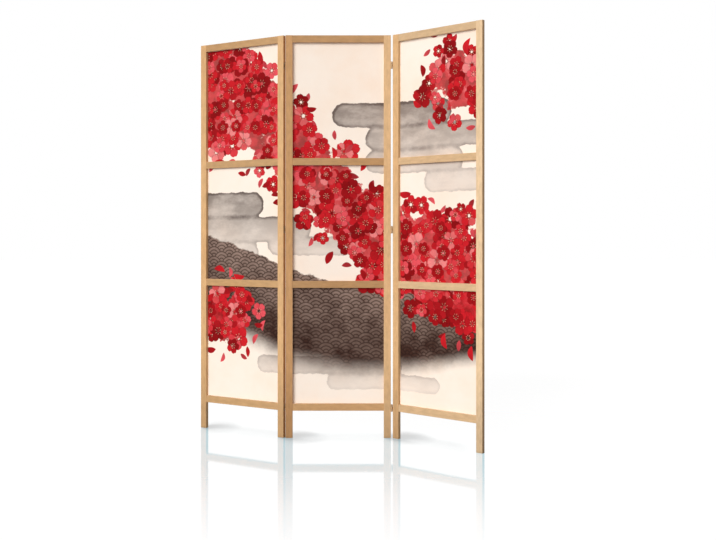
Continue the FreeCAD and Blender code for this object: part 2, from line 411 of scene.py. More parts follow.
@dataclass(frozen=True)
class PineFinish:
    """Planed and clear-varnished pine, as a block of growth rings that the bar is cut from."""

    early_wood: Tone = Tone(228, 184, 133)
    late_wood: Tone = Tone(206, 158, 104)
    streaked_wood: Tone = Tone(218, 166, 112)
    heart_wood: Tone = Tone(205, 148, 95)
    sap_wood: Tone = Tone(246, 219, 181)
    knot: Tone = Tone(128, 76, 38)
    ring_spacing: float = 3.4 * MILLIMETRE
    pith_distance: float = 0.085
    pith_range: tuple[float, float] = (0.25, 0.75)
    start_range: tuple[float, float] = (3.0, 9.0)
    ring_wander: float = 0.016
    wander_through_share: float = 0.6
    wander_noise: Noise = Noise(1.0)
    wander_stretch: float = 0.9
    wander_step: float = 1.7
    ripple_noise: Noise = Noise(34.0, 3.0)
    ripple_stretch: float = 0.12
    ripple_share: float = 0.22
    late_rise: Rise = (0.35, 0.86)
    late_fall: Rise = (1.0, 0.93)
    late_shown: Blend = Blend(0.42, (0.45,))
    fibre_noise: Noise = Noise(900.0, 3.0, 0.6)
    streak_noise: Noise = Noise(120.0)
    fibre_stretch: float = 0.03
    fibre_depth: float = 0.05 * MILLIMETRE
    mottle_noise: Noise = Noise(75.0, 3.0, 0.6)
    mottle_stretch: float = 0.35
    patch_noise: Noise = Noise(2.6)
    patch_step: float = 2.3
    patch_squeeze: float = 3.0
    patch_rise: Rise = (0.45, 0.75)
    patch_strength: float = 0.55
    knots_to_the_metre: float = 1.15
    knot_chance: float = 0.40
    knot_strength: float = 0.55
    knot_radius: float = 7.8 * MILLIMETRE
    knot_heart: float = 4.0 * MILLIMETRE
    knot_shift: float = 6 * MILLIMETRE
    knot_squeeze: float = 1.25
    # Painted shade on upright bars, darker towards the floor up to the next height.
    painted_leg_shade: float = 0.26
    painted_leg_shade_height: float = 0.42
    # Grime and painted contact shade at the very foot of an upright bar.
    grime_and_contact_shade: float = 0.11
    grime_and_contact_shade_height: float = 0.014
    # Painted shade: the panel's outer edges are painted more amber.
    painted_edge_amber: float = 0.55
    edge_round: float = 1.2 * MILLIMETRE
    level: Blend = Blend(0.83, (0.14, 0.20, 0.54))
    roughness: Blend = Blend(0.44, (0.16,))
    relief: Blend = Blend(0.0, (0.6, 0.4))
    relief_strength: float = 0.6
    specular_level: float = 0.2
    refraction: float = 1.45

    @staticmethod
    def panel_point(graph: Graph, place: "PanelPlace") -> tuple[Field, Field, Field]:
        """The shaded point in the panel's own directions.

        Args:
            graph: The material's graph.
            place: The panel's centre and turn, which are taken off the point.

        Returns:
            Its distances across the panel, through it and up.
        """
        inputs = {
            "Vector": graph.value("TexCoord", {}, "Object"),
            "Location": (place.centre[0], place.centre[1], 0.0),
            "Rotation": (0.0, 0.0, place.turn),
        }
        return graph.split(graph.value("Mapping", inputs, vector_type="TEXTURE"))

    def late_share(self, graph: Graph, wood: WoodPoint) -> Field:
        """How much late wood shows.

        The distance from a wandering pith, over the spacing of the rings, has a whole number for
        each ring, and what is above it is the way through that ring, from early wood to late.

        Args:
            graph: The material's graph.
            wood: The shaded point.

        Returns:
            The share, from nothing to one.
        """
        wander_point = graph.vector(wood.along * self.wander_stretch, wood.seed * self.wander_step)
        drift = (graph.noise(wander_point, self.wander_noise) - 0.5) * self.ring_wander * 2
        radius = graph.length(
            wood.side - self.pith_distance * math.cos(wood.pith_angle) + drift,
            wood.through - self.pith_distance * math.sin(wood.pith_angle) + drift * self.wander_through_share,
        )
        rippled = radius + wood.ripple * self.ring_wander * self.ripple_share
        phase = (rippled / self.ring_spacing).fraction()
        return phase.ramp(*self.late_rise) * phase.ramp(*self.late_fall)

    def knot_share(self, graph: Graph, wood: WoodPoint) -> Field:
        """How strongly a knot shows. The bar is cut in lengths along the grain, and some hold a knot.

        Args:
            graph: The material's graph.
            wood: The shaded point.

        Returns:
            The share of the knots' colour.
        """
        lengths = wood.along * self.knots_to_the_metre
        distance = graph.length(wood.side * self.knot_squeeze - wood.knot_side, lengths.fraction() - 0.5)
        core = (distance + wood.ripple * self.knot_heart).ramp(self.knot_radius, self.knot_heart)
        knotty = graph.chance(graph.vector(lengths.floor(), float(wood.seed)))[0].below(self.knot_chance)
        return core * knotty * self.knot_strength

    def make(
        self, name: str, place: "PanelPlace", grain: Grain, seed: int, plank: Plank
    ) -> bpy.types.Material:
        """Makes the material of one bar.

        Noise that is stretched along the grain adds the fibres, the streaks and a mottle to the
        rings and knots. As painted shade the panel's outer edges are darker, and so is an upright
        bar towards the floor, darkest at its very foot with grime and painted contact shade.

        Args:
            name: The material's name.
            place: The panel that the bar belongs to, which gives the direction of level grain.
            grain: Which way the grain runs.
            seed: A whole number that picks another part of the tree for each bar.
            plank: How light and how pale the wood of this bar is.

        Returns:
            The material.
        """
        material, graph = new_material(name)
        draw = np.random.default_rng(seed)
        across, through, up = self.panel_point(graph, place)
        along, side = (up, across) if grain is Grain.UPRIGHT else (across, up)
        along = along + float(draw.uniform(*self.start_range))
        pith_angle = float(draw.uniform(*self.pith_range)) * math.pi
        knot_side = float(draw.uniform(-self.knot_shift, self.knot_shift))

        def stretched(stretch: float) -> Field:
            """The point with its distance along the grain cut short, which draws noise out."""
            return graph.vector(side, through, along * stretch)

        ripple = graph.noise(stretched(self.ripple_stretch), self.ripple_noise) - 0.5
        fibre = graph.noise(stretched(self.fibre_stretch), self.fibre_noise)
        streak = graph.noise(stretched(self.fibre_stretch), self.streak_noise)
        mottle = graph.noise(stretched(self.mottle_stretch), self.mottle_noise) - 0.5
        patch_point = graph.vector(side * self.patch_squeeze, seed * self.patch_step, along)
        patch = graph.noise(patch_point, self.patch_noise)
        wood = WoodPoint(along, side, through, ripple, seed, pith_angle, knot_side)
        late = self.late_share(graph, wood)
        # The panel's outer edges, which are painted darker and more amber as shade.
        painted_shade_edge = abs(across).ramp(place.half_width - self.edge_round, place.half_width)
        colour: Field | Tone = self.early_wood
        for share, tone in (
            (late * self.late_shown.of(streak), self.late_wood),
            (patch.ramp(*self.patch_rise) * self.patch_strength, self.streaked_wood),
            (self.knot_share(graph, wood), self.knot),
            # The bar's own amber and pale colour, which also holds painted light and shade.
            (plank.amber_and_shade_share, self.heart_wood),
            (plank.pale_and_light_share, self.sap_wood),
            (painted_shade_edge * self.painted_edge_amber, self.heart_wood),
        ):
            colour = graph.mix(share, colour, tone)
        # Painted shade on the outer edges; on an upright bar also painted shade towards the floor, with grime
        # and painted contact shade at its foot.
        shade_and_grime = painted_shade_edge * plank.painted_edge_shade
        if grain is Grain.UPRIGHT:
            # Painted shade, darker towards the floor.
            shade_and_grime = shade_and_grime + up.ramp(self.painted_leg_shade_height, 0.0) * self.painted_leg_shade
            # Grime and painted contact shade at the very foot.
            shade_and_grime = shade_and_grime + up.ramp(self.grime_and_contact_shade_height, 0.0) * self.grime_and_contact_shade
        level = self.level.of(fibre, streak, mottle) * (1.0 - shade_and_grime)
        graph.coat({
            "Base Color": graph.shade(colour, level * plank.level),
            "Roughness": self.roughness.of(fibre),
            "IOR": self.refraction,
            "Specular IOR Level": self.specular_level,
            "Normal": graph.bump(self.relief.of(fibre, late), self.fibre_depth, self.relief_strength),
        })
        return material


@dataclass(frozen=True)
class MetalFinish:
    """A small metal piece with a rolled or drawn surface, a little dulled by handling."""

    name: str
    bright: Tone
    dull: Tone
    least_roughness: float
    metallic: float = 1.0
    grain_noise: Noise = Noise(2600.0)
    grain_stretch: float = 0.06
    cloud_noise: Noise = Noise(160.0, 4.0, 0.6)
    cloud_rise: Rise = (0.38, 0.68)
    roughness_weights: tuple[float, float] = (0.25, 0.1)
    grain_depth: float = 0.015 * MILLIMETRE
    grain_strength: float = 0.5

    def make(self) -> bpy.types.Material:
        """Makes the material, with dull clouds and a fine grain that is drawn out upwards.

        Returns:
            The material.
        """
        material, graph = new_material(self.name)
        point = graph.value("TexCoord", {}, "Object")
        cloud = graph.noise(point, self.cloud_noise)
        across, through, up = graph.split(point)
        drawn = graph.noise(graph.vector(across, through, up * self.grain_stretch), self.grain_noise)
        graph.coat({
            "Base Color": graph.mix(cloud.ramp(*self.cloud_rise), self.bright, self.dull),
            "Metallic": self.metallic,
            "Roughness": Blend(self.least_roughness, self.roughness_weights).of(cloud, drawn),
            "Normal": graph.bump(drawn, self.grain_depth, self.grain_strength),
        })
        return material


# The printed design: blossoms adrift over cloud bars and a scalloped stream

@dataclass(frozen=True)
class Wave:
    """A sine of the place across the print, by its turns in radians to the metre, start and swing."""

    rate: float
    start: float
    swing: float

    def at(self, across: Field) -> Field:
        """The wave's height at a place."""
        return (across * self.rate + self.start).sine() * self.swing


@dataclass(frozen=True)
class Capsule:
    """A level bar with round ends, in the print's own metres."""

    across: float
    up: float
    half_length: float
    radius: float


@dataclass(frozen=True)
class CloudBars:
    """Traditional cloud bars: level bars with round ends that run into each other, washed in ink."""

    bars: tuple[Capsule, ...]
    edge: Tone
    body: Tone
    strength: float = 0.95
    softness: float = 0.030
    bleed: float = 0.010
    bleed_noise: Noise = Noise(26.0, 4.0, 0.62)
    crispness: float = 1.5 * MILLIMETRE
    dried_width: float = 16 * MILLIMETRE
    wash_reach: float = 0.04
    grain_noise: Noise = Noise(8.0, 6.0, 0.68)
    grain_stretch: float = 0.55
    pale_rise: Rise = (0.40, 0.72)
    ink: Blend = Blend(0.10, (0.75, 0.25, -0.45))
    wash: Blend = Blend(0.50, (0.42, 0.20, -0.16))

    def distance(self, graph: Graph, across: Field, up: Field) -> Field:
        """How far outside the bars a point lies.

        The distance to a bar is the distance to its middle line less its radius, and the bars are
        joined by the smooth least of their distances.

        Args:
            graph: The layer's graph.
            across: Where on the print, to the right.
            up: Where on the print, upwards.

        Returns:
            The distance, less than nothing inside.
        """
        nearest = None
        for bar in self.bars:
            beside = (abs(across - bar.across) - bar.half_length).most(0.0)
            distance = graph.length(beside, up - bar.up) - bar.radius
            if nearest is None:
                nearest = distance
            else:
                nearest = graph.math("SMOOTH_MIN", nearest, distance, self.softness)
        return nearest

    def paint(self, graph: Graph, across: Field, up: Field, ground: Field) -> Field:
        """Paints the bars over a ground.

        The wash thins from the highest bar to the lowest and dries a little darker along its edge.

        Args:
            graph: The layer's graph.
            across: Where on the print, to the right.
            up: Where on the print, upwards.
            ground: The colour below.

        Returns:
            The colour with the bars on it.
        """
        bled = graph.noise(graph.vector(across, up), self.bleed_noise) - 0.5
        inside = self.distance(graph, across, up) + bled * self.bleed * 2
        mask = inside.ramp(self.crispness, -self.crispness)
        dried = inside.ramp(-self.dried_width, -MILLIMETRE)
        top = max(bar.up + bar.radius for bar in self.bars)
        bottom = min(bar.up - bar.radius for bar in self.bars)
        fall = up.ramp(bottom - self.wash_reach, top)
        grains = graph.noise(graph.vector(across * self.grain_stretch, up), self.grain_noise)
        pale = grains.ramp(*self.pale_rise)
        colour = graph.mix(self.ink.of(fall, dried, pale), self.body, self.edge)
        wash = mask * self.strength * self.wash.of(fall, dried, pale).least(1.0)
        return graph.mix(wash, ground, colour)


@dataclass(frozen=True)
class ScallopStream:
    """A stream of the traditional scallop wave, in rings of dark ink under a soft wash."""

    line: Tone
    wash: Tone
    deep: Tone
    height: float = 0.62
    slope: float = 0.10
    course: Wave = Wave(3.5, 2.1, 0.075)
    half_breadth: float = 0.160
    breadth_wave: Wave = Wave(2.6, 0.7, 0.028)
    raggedness: float = 0.24
    ragged_noise: Noise = Noise(18.0, 4.0, 0.6)
    scallop_width: float = 0.086
    rings: int = 3
    line_share: float = 0.34
    line_softness: float = 0.08
    shake: float = 3 * MILLIMETRE
    shake_noise: Noise = Noise(40.0, 3.0)
    pigment_noise: Noise = Noise(9.0, 5.0, 0.66)
    pigment_rise: Rise = (0.34, 0.68)
    upper_edge: Rise = (-1.01, -0.97)
    lower_edge: Rise = (1.35, 0.72)
    thickening: Rise = (-1.1, 0.9)
    thickness: Blend = Blend(-0.1, (0.75, 0.45))
    line_ink: Blend = Blend(0.45, (0.5,))

    def scallops(self, graph: Graph, across: Field, up: Field) -> Field:
        """How far out on its scallop a point lies.

        Scallops are discs on rows a quarter of their width apart, each row shifted by half a width
        from the one below. The lowest row that covers a point shows, and three rows can cover it.

        Args:
            graph: The layer's graph.
            across: Where on the print, to the right.
            up: Where on the print, upwards.

        Returns:
            Nothing at the scallop's centre and one at its rim.
        """
        radius = self.scallop_width / 2
        row_step = radius / 2
        row = (up / row_step).floor()
        shown = None
        for offset in (1, 0, -1):
            number = row + float(offset)
            shift = (number * 0.5).fraction()
            beside = ((across / self.scallop_width + shift).fraction() - 0.5) * self.scallop_width
            reach = graph.length(beside, up - number * row_step) / radius
            if shown is None:
                shown = reach
            else:
                covered = reach.below(1.0)
                shown = reach * covered + shown * (1.0 - covered)
        return shown.least(1.0)

    def paint(self, graph: Graph, across: Field, up: Field, ground: Field) -> Field:
        """Paints the waves over a ground.

        The stream's middle is a slow wave and its breadth another. Its upper edge is crisp, its
        ink thickens downwards, and its lower edge runs out into the cloth.

        Args:
            graph: The layer's graph.
            across: Where on the print, to the right.
            up: Where on the print, upwards.
            ground: The colour below.

        Returns:
            The colour with the waves on it.
        """
        point = graph.vector(across, up)
        middle = self.height + self.course.at(across) - across * self.slope
        breadth = self.breadth_wave.at(across) + self.half_breadth
        ragged = (graph.noise(point, self.ragged_noise) - 0.5) * self.raggedness
        depth = (middle - up) / breadth + ragged
        mask = depth.ramp(*self.upper_edge) * depth.ramp(*self.lower_edge)
        shaky = (graph.noise(point, self.shake_noise) - 0.5) * self.shake
        reach = self.scallops(graph, across + shaky, up + shaky)
        ring = (reach * float(self.rings)).fraction()
        line_start = 1.0 - self.line_share
        drawn = ring.ramp(line_start - self.line_softness, line_start + self.line_softness)
        pigment = graph.noise(point, self.pigment_noise)
        thick = self.thickness.of(depth.ramp(*self.thickening), pigment.ramp(*self.pigment_rise))
        body = graph.mix(thick, self.wash, self.deep)
        colour = graph.mix(drawn * self.line_ink.of(pigment), body, self.line)
        return graph.mix(mask, ground, colour)


@dataclass(frozen=True)
class Cluster:
    """A round cluster of blossoms, with how far it reaches and how wide its dense core is."""

    across: float
    up: float
    reach: float
    core: float


@dataclass(frozen=True)
class Drift:
    """Where the blossoms lie: a stream down across the print, with one small cluster above and one below."""

    span: float = 1.366
    top: float = 1.46
    fall: float = 0.84
    course: Wave = Wave(5.4, 0.7, 0.06)
    half_breadth: float = 0.29
    breadth_wave: Wave = Wave(3.3, 2.2, 0.05)
    thinning: Rise = (1.35, 0.45)
    clusters: tuple[Cluster, ...] = (Cluster(1.20, 1.50, 0.26, 0.06), Cluster(0.12, 0.50, 0.25, 0.05))

    def density(self, graph: Graph, across: Field, up: Field) -> Field:
        """How dense the blossoms lie at a point.

        The stream falls from the upper left to the lower right on a slow wave, and they thin out
        with the distance from its middle over its half breadth, which is another slow wave.

        Args:
            graph: The graph of the layer or the material.
            across: Where on the print, to the right.
            up: Where on the print, upwards.

        Returns:
            The density, from nothing to one.
        """
        fallen = (across / self.span).ramp(0.0, 1.0) * self.fall
        middle = self.top - fallen + self.course.at(across)
        half_breadth = self.breadth_wave.at(across) + self.half_breadth
        density = (abs(up - middle) / half_breadth).ramp(*self.thinning)
        for cluster in self.clusters:
            out = graph.length(across - cluster.across, up - cluster.up)
            density = density.most(out.ramp(cluster.reach, cluster.core))
        return density


DRIFT = Drift()


@dataclass(frozen=True)
class ScatterCell:
    """A cell of a lattice, with the shaded point's place about its piece, and its random numbers."""

    reach_x: Field
    reach_y: Field
    density: Field
    numbers: tuple[Field, Field]
    chance: Field
    draws: tuple[Field, Field, Field]


@dataclass(frozen=True)
class Scatter:
    """Pieces strewn over the print, at most one in each cell of a turned square lattice."""

    cell: float
    turn: float
    shift: float
    jitter_share: float

    def find(self, graph: Graph, across: Field, up: Field) -> ScatterCell:
        """Finds the cell that a point lies in, and where in it its piece lies.

        The lattice is turned and moved to the left. A piece lies off the middle of its cell by up to
        half the jitter's share of the cell's width, each way.

        Args:
            graph: The layer's graph.
            across: Where on the print, to the right.
            up: Where on the print, upwards.

        Returns:
            The cell, with the drift's density at its piece.
        """
        turn = math.radians(self.turn)
        lattice_x, lattice_y = graph.turned(across + self.shift, up, turn)
        cell_x = (lattice_x / self.cell).floor()
        cell_y = (lattice_y / self.cell).floor()
        first, second, third = graph.chance(graph.vector(cell_x, cell_y, self.turn))
        draws = graph.chance(graph.vector(cell_y, cell_x, self.turn + 0.5))
        centre_x = (cell_x + 0.5 + (first - 0.5) * self.jitter_share) * self.cell
        centre_y = (cell_y + 0.5 + (second - 0.5) * self.jitter_share) * self.cell
        place_x, place_y = graph.turned(centre_x, centre_y, -turn)
        density = DRIFT.density(graph, place_x - self.shift, place_y)
        reach = (lattice_x - centre_x, lattice_y - centre_y)
        return ScatterCell(*reach, density, (cell_x, cell_y), third, draws)


@dataclass(frozen=True)
class BlossomLayer(Scatter):
    """Five-petalled blossoms, strewn where the drift is dense."""

    radius_share: float
    fewest: float
    light: Tone
    middle: Tone
    dark: Tone
    stamen: Tone = Tone(252, 214, 176)
    petals: int = 5
    stamens: int = 7
    least_size: float = 0.72
    petal_out_share: float = 0.57
    petal_radius_share: float = 0.43
    notch_out_share: float = 1.03
    notch_radius_share: float = 0.085
    wobble: float = 6 * MILLIMETRE
    wobble_noise: Noise = Noise(70.0)
    crispness: float = 0.9 * MILLIMETRE
    pooled_width: float = 4.0 * MILLIMETRE
    petal_variety: float = 0.35
    middle_rise: Rise = (0.20, 0.52)
    light_rise: Rise = (0.66, 1.0)
    vein_noise: Noise = Noise(2.2, 3.0)
    vein_squeeze: float = 9.0
    vein_step: float = 7.0
    seam_rise: Rise = (0.80, 1.0)
    seam_start: Rise = (0.2, 0.55)
    throat_rise: Rise = (0.42, 0.10)
    level: Blend = Blend(0.84, (0.20, 0.55, -0.20, -0.30, -0.34))
    thread_width: float = 0.6 * MILLIMETRE
    thread_start: Rise = (0.06, 0.10)
    thread_end: Rise = (0.34, 0.30)
    thread_strength: float = 0.55
    tip_share: float = 0.33
    tip_rise: Rise = (1.6 * MILLIMETRE, 0.9 * MILLIMETRE)
    tip_strength: float = 0.75
    heart_rise: Rise = (4.6 * MILLIMETRE, 3.0 * MILLIMETRE)
    heart_strength: float = 0.8

    def paint(self, graph: Graph, across: Field, up: Field, ground: Field) -> Field:
        """Paints the blossoms over a ground, more of them where the drift is dense.

        A cell's random numbers give its blossom's centre, turn, size and tone. The point's angle
        about that centre is folded into one petal, a disc set out from the centre, so that the five
        discs together are the blossom. Each has a small round notch at its end.

        Args:
            graph: The layer's graph.
            across: Where on the print, to the right.
            up: Where on the print, upwards.
            ground: The colour below.

        Returns:
            The colour with the blossoms on it.
        """
        found = self.find(graph, across, up)
        size_draw, turn_draw, tone_draw = found.draws
        present = (found.chance * (1 - self.fewest) + self.fewest).below(found.density)
        size = (self.least_size + size_draw * (1 - self.least_size)) * self.radius_share * self.cell
        out = graph.length(found.reach_x, found.reach_y)
        rough = graph.noise(graph.vector(across, up, self.turn), self.wobble_noise) - 0.5
        angle = graph.math("ARCTAN2", found.reach_y, found.reach_x) + turn_draw * FULL_TURN
        petal_turn = FULL_TURN / self.petals
        number = (angle / petal_turn).floor()
        folded = ((angle / petal_turn).fraction() - 0.5) * petal_turn
        along = out * folded.cosine()
        beside = out * folded.sine()
        petal = graph.length(along - size * self.petal_out_share, beside) - size * self.petal_radius_share
        notch = graph.length(along - size * self.notch_out_share, beside) - size * self.notch_radius_share
        petal = (petal + rough * self.wobble).most(notch * -1.0)
        mask = petal.ramp(self.crispness, -self.crispness) * present
        share = out / size
        own = graph.chance(graph.vector(*found.numbers, number + self.turn))[0]
        pick = tone_draw + (own - 0.5) * self.petal_variety
        colour = graph.mix(pick.ramp(*self.middle_rise), self.dark, self.middle)
        colour = graph.mix(pick.ramp(*self.light_rise), colour, self.light)
        vein_point = graph.vector(folded * self.vein_squeeze, share, number + tone_draw * self.vein_step)
        vein = graph.noise(vein_point, self.vein_noise) - 0.5
        pooled = petal.ramp(-self.pooled_width, -self.crispness / 2)
        seam = (abs(folded) / petal_turn * 2).ramp(*self.seam_rise) * share.ramp(*self.seam_start)
        level = self.level.of(share, vein, pooled, seam, share.ramp(*self.throat_rise))
        marks = self.stamen_marks(graph, out, angle, size)
        colour = graph.mix(marks, graph.shade(colour, level), self.stamen)
        return graph.mix(mask, ground, colour)

    def stamen_marks(self, graph: Graph, out: Field, angle: Field, size: Field) -> Field:
        """Where a blossom's stamens and heart show.

        The point's angle is folded into one stamen, a thread along the middle with a round tip.

        Args:
            graph: The layer's graph.
            out: The point's distance from the blossom's centre.
            angle: The point's angle about it.
            size: The blossom's radius.

        Returns:
            How much of the stamens' colour shows.
        """
        share = out / size
        stamen_turn = FULL_TURN / self.stamens
        spoke = ((angle / stamen_turn).fraction() - 0.5) * stamen_turn
        beside = out * spoke.sine()
        thread = abs(beside).ramp(self.thread_width, self.thread_width / 2)
        thread = thread * share.ramp(*self.thread_start) * share.ramp(*self.thread_end)
        tip = graph.length(out * spoke.cosine() - size * self.tip_share, beside).ramp(*self.tip_rise)
        heart = out.ramp(*self.heart_rise) * self.heart_strength
        return (thread * self.thread_strength).most(tip * self.tip_strength).most(heart)


@dataclass(frozen=True)
class PetalLayer(Scatter):
    """Single loose petals that drift away from the blossoms."""

    least: float
    most: float
    share: float
    light: Tone
    dark: Tone
    least_size: float = 0.7
    length_share: float = 0.34
    half_width_share: float = 0.42
    crispness: float = 0.9 * MILLIMETRE
    crease_width: float = 1.2 * MILLIMETRE
    least_fade: float = 0.08
    most_fade: float = 0.05
    curl: float = 0.9
    disc: Blend = Blend(0.95, (0.5,))
    vein_noise: Noise = Noise(90.0)
    vein_squeeze: float = 6.0
    level: Blend = Blend(0.78, (0.16, 0.36, -0.18))

    def paint(self, graph: Graph, across: Field, up: Field, ground: Field) -> Field:
        """Paints the petals over a ground, where the drift's density lies between two marks.

        A petal is what two discs share, one each side of its long axis, so it has two points.

        Args:
            graph: The layer's graph.
            across: Where on the print, to the right.
            up: Where on the print, upwards.
            ground: The colour below.

        Returns:
            The colour with the petals on it.
        """
        found = self.find(graph, across, up)
        size_draw, turn_draw, tone_draw = found.draws
        enough = found.density.ramp(self.least, self.least + self.least_fade)
        too_dense = found.density.ramp(self.most, self.most + self.most_fade)
        present = found.chance.below(self.share * enough) * (1.0 - too_dense)
        size = (self.least_size + size_draw * (1 - self.least_size)) * self.cell * self.length_share
        along, beside = graph.turned(found.reach_x, found.reach_y, turn_draw * FULL_TURN)
        curled = beside + along * along / size * (tone_draw - 0.5) * self.curl
        disc = size * self.disc.of(tone_draw)
        offset = disc - size * self.half_width_share
        petal = graph.length(along, abs(curled) + offset) - disc
        mask = petal.ramp(self.crispness, -self.crispness) * present
        crease = abs(curled).ramp(self.crease_width, 0.0)
        colour = graph.mix(tone_draw, self.dark, self.light)
        vein_point = graph.vector(along, curled * self.vein_squeeze, size_draw)
        vein = graph.noise(vein_point, self.vein_noise)
        level = self.level.of(along / size, vein, crease)
        return graph.mix(mask, ground, graph.shade(colour, level))


@dataclass(frozen=True)
class PrintFinish:
    """The printed cloth: a fine plain weave with the design on its face and bare yarn on its back."""

    uv_name: str = "print_place"
    face_name: str = "face_share"
    cream: Tone = Tone(254, 240, 226)
    warm_cream: Tone = Tone(252, 231, 212)
    bare_yarn: Tone = Tone(240, 234, 224)
    wash_deep: Tone = Tone(150, 6, 12)
    wash_red: Tone = Tone(205, 36, 46)
    wash_pale: Tone = Tone(232, 104, 108)
    wash_strength: float = 0.94
    wash_noise: Noise = Noise(11.0, 6.0, 0.66)
    wash_raggedness: float = 1.1
    wash_rise: Rise = (0.82, 0.87)
    blotch_noise: Noise = Noise(15.0, 5.0, 0.62)
    red_rise: Rise = (0.36, 0.56)
    pale_rise: Rise = (0.56, 0.72)
    paper_noise: Noise = Noise(3.2, 5.0, 0.6)
    paper_rise: Rise = (0.35, 0.75)
    thread_pitch: float = 0.7 * MILLIMETRE
    thread_depth: float = 0.06 * MILLIMETRE
    slub_noise: Noise = Noise(900.0)
    slub_stretch: float = 0.2
    loose_noise: Noise = Noise(60.0)
    roughness: float = 0.78
    specular_level: float = 0.12
    sheen: float = 0.02
    sheen_roughness: float = 0.5
    back_ghost: float = 0.10
    back_warmth: float = 0.4
    level: Blend = Blend(0.965, (0.05, 0.02))
    weave: Blend = Blend(0.0, (0.5, 0.5))
    relief: Blend = Blend(0.0, (0.5, 0.3, 0.2))
    relief_strength: float = 0.35

    def design(self, graph: Graph, across: Field, up: Field) -> Field:
        """Paints the whole design: cream, cloud bars, stream, a red wash and the blossoms over it.

        Args:
            graph: The material's graph.
            across: Where on the print, to the right.
            up: Where on the print, upwards.

        Returns:
            The colour at that place.
        """
        point = graph.vector(across, up)
        paper = graph.noise(point, self.paper_noise)
        colour = graph.mix(paper.ramp(*self.paper_rise), self.cream, self.warm_cream)
        for number, clouds in enumerate(CLOUDS):
            colour = graph.layer(f"cloud_bars_{number}", clouds.paint, across, up, colour)
        colour = graph.layer("scallop_stream", STREAM.paint, across, up, colour)
        ragged = (graph.noise(point, self.wash_noise) - 0.5) * self.wash_raggedness
        washed = (DRIFT.density(graph, across, up) + ragged).ramp(*self.wash_rise) * self.wash_strength
        blotch = graph.noise(point, self.blotch_noise)
        tint = graph.mix(blotch.ramp(*self.red_rise), self.wash_deep, self.wash_red)
        tint = graph.mix(blotch.ramp(*self.pale_rise), tint, self.wash_pale)
        colour = graph.mix(washed, colour, tint)
        for number, scatter in enumerate(SCATTER):
            colour = graph.layer(f"scatter_{number}", scatter.paint, across, up, colour)
        return colour

    def make(self, name: str) -> bpy.types.Material:
        """Makes the material that all three sheets share.

        The weave is half the size of a sine across plus half the size of one up, and the noise of
        the slubs is drawn out along the weft.

        Args:
            name: The material's name.

        Returns:
            The material.
        """
        material, graph = new_material(name)
        across, up, _ = graph.split(graph.value("UVMap", {}, uv_map=self.uv_name))
        face = graph.value("Attribute", {}, "Fac", attribute_name=self.face_name)
        weft = (across * (math.pi / self.thread_pitch)).sine()
        warp = (up * (math.pi / self.thread_pitch)).sine()
        weave = self.weave.of(abs(weft), abs(warp))
        slub = graph.noise(graph.vector(across * self.slub_stretch, up), self.slub_noise)
        loose = graph.noise(graph.vector(across, up), self.loose_noise)
        printed = self.design(graph, across, up)
        bare = graph.mix(slub * self.back_warmth, self.bare_yarn, self.warm_cream)
        back = graph.mix(self.back_ghost, bare, printed)
        height = self.relief.of(weave, slub, loose)
        graph.coat({
            "Base Color": graph.shade(graph.mix(face, back, printed), self.level.of(slub, weave)),
            "Roughness": self.roughness,
            "Specular IOR Level": self.specular_level,
            "Sheen Weight": self.sheen,
            "Sheen Roughness": self.sheen_roughness,
            "Normal": graph.bump(height, self.thread_depth, self.relief_strength),
        })
        return material


INK = Tone(92, 76, 70)
PALE_INK = Tone(206, 192, 182)
CLOUDS = (
    CloudBars(
        bars=(
            Capsule(0.90, 1.38, 0.22, 0.052),
            Capsule(1.12, 1.28, 0.30, 0.050),
            Capsule(1.00, 1.18, 0.18, 0.050),
            Capsule(1.30, 1.09, 0.22, 0.045),
        ),
        edge=INK,
        body=PALE_INK,
    ),
    CloudBars(
        bars=(
            Capsule(0.02, 1.00, 0.24, 0.055),
            Capsule(0.22, 0.89, 0.26, 0.055),
            Capsule(0.04, 0.79, 0.20, 0.050),
            Capsule(0.56, 0.82, 0.18, 0.040),
        ),
        edge=Tone(84, 70, 64),
        body=PALE_INK,
    ),
    CloudBars(
        bars=(
            Capsule(0.60, 0.31, 0.28, 0.038),
            Capsule(0.86, 0.24, 0.22, 0.034),
        ),
        edge=Tone(176, 162, 152),
        body=Tone(226, 212, 200),
        strength=0.8,
    ),
)
STREAM = ScallopStream(line=Tone(38, 20, 14), wash=Tone(146, 122, 110), deep=Tone(58, 34, 26))
CRIMSON = Tone(205, 26, 36)
DEEP = Tone(138, 2, 8)
ROSE = Tone(230, 84, 92)
BLUSH = Tone(238, 134, 132)
SCATTER = (
    BlossomLayer(0.132, 17.0, 0.03, 0.24, 0.42, 0.16, ROSE, CRIMSON, DEEP),
    BlossomLayer(0.112, 52.0, 0.41, 0.28, 0.41, 0.20, BLUSH, CRIMSON, DEEP),
    PetalLayer(0.086, 33.0, 0.77, 0.3, 0.04, 0.9, 0.75, ROSE, DEEP),
    BlossomLayer(0.098, 71.0, 0.19, 0.26, 0.41, 0.24, ROSE, CRIMSON, DEEP),
    BlossomLayer(0.124, 38.0, 0.66, 0.22, 0.42, 0.24, BLUSH, CRIMSON, DEEP),
    PetalLayer(0.104, 64.0, 0.11, 0.3, 0.0, 0.7, 0.85, CRIMSON, DEEP),
    BlossomLayer(0.090, 5.0, 0.53, 0.26, 0.41, 0.32, ROSE, CRIMSON, Tone(162, 6, 16)),
)
PRINT = PrintFinish()


# Shapes

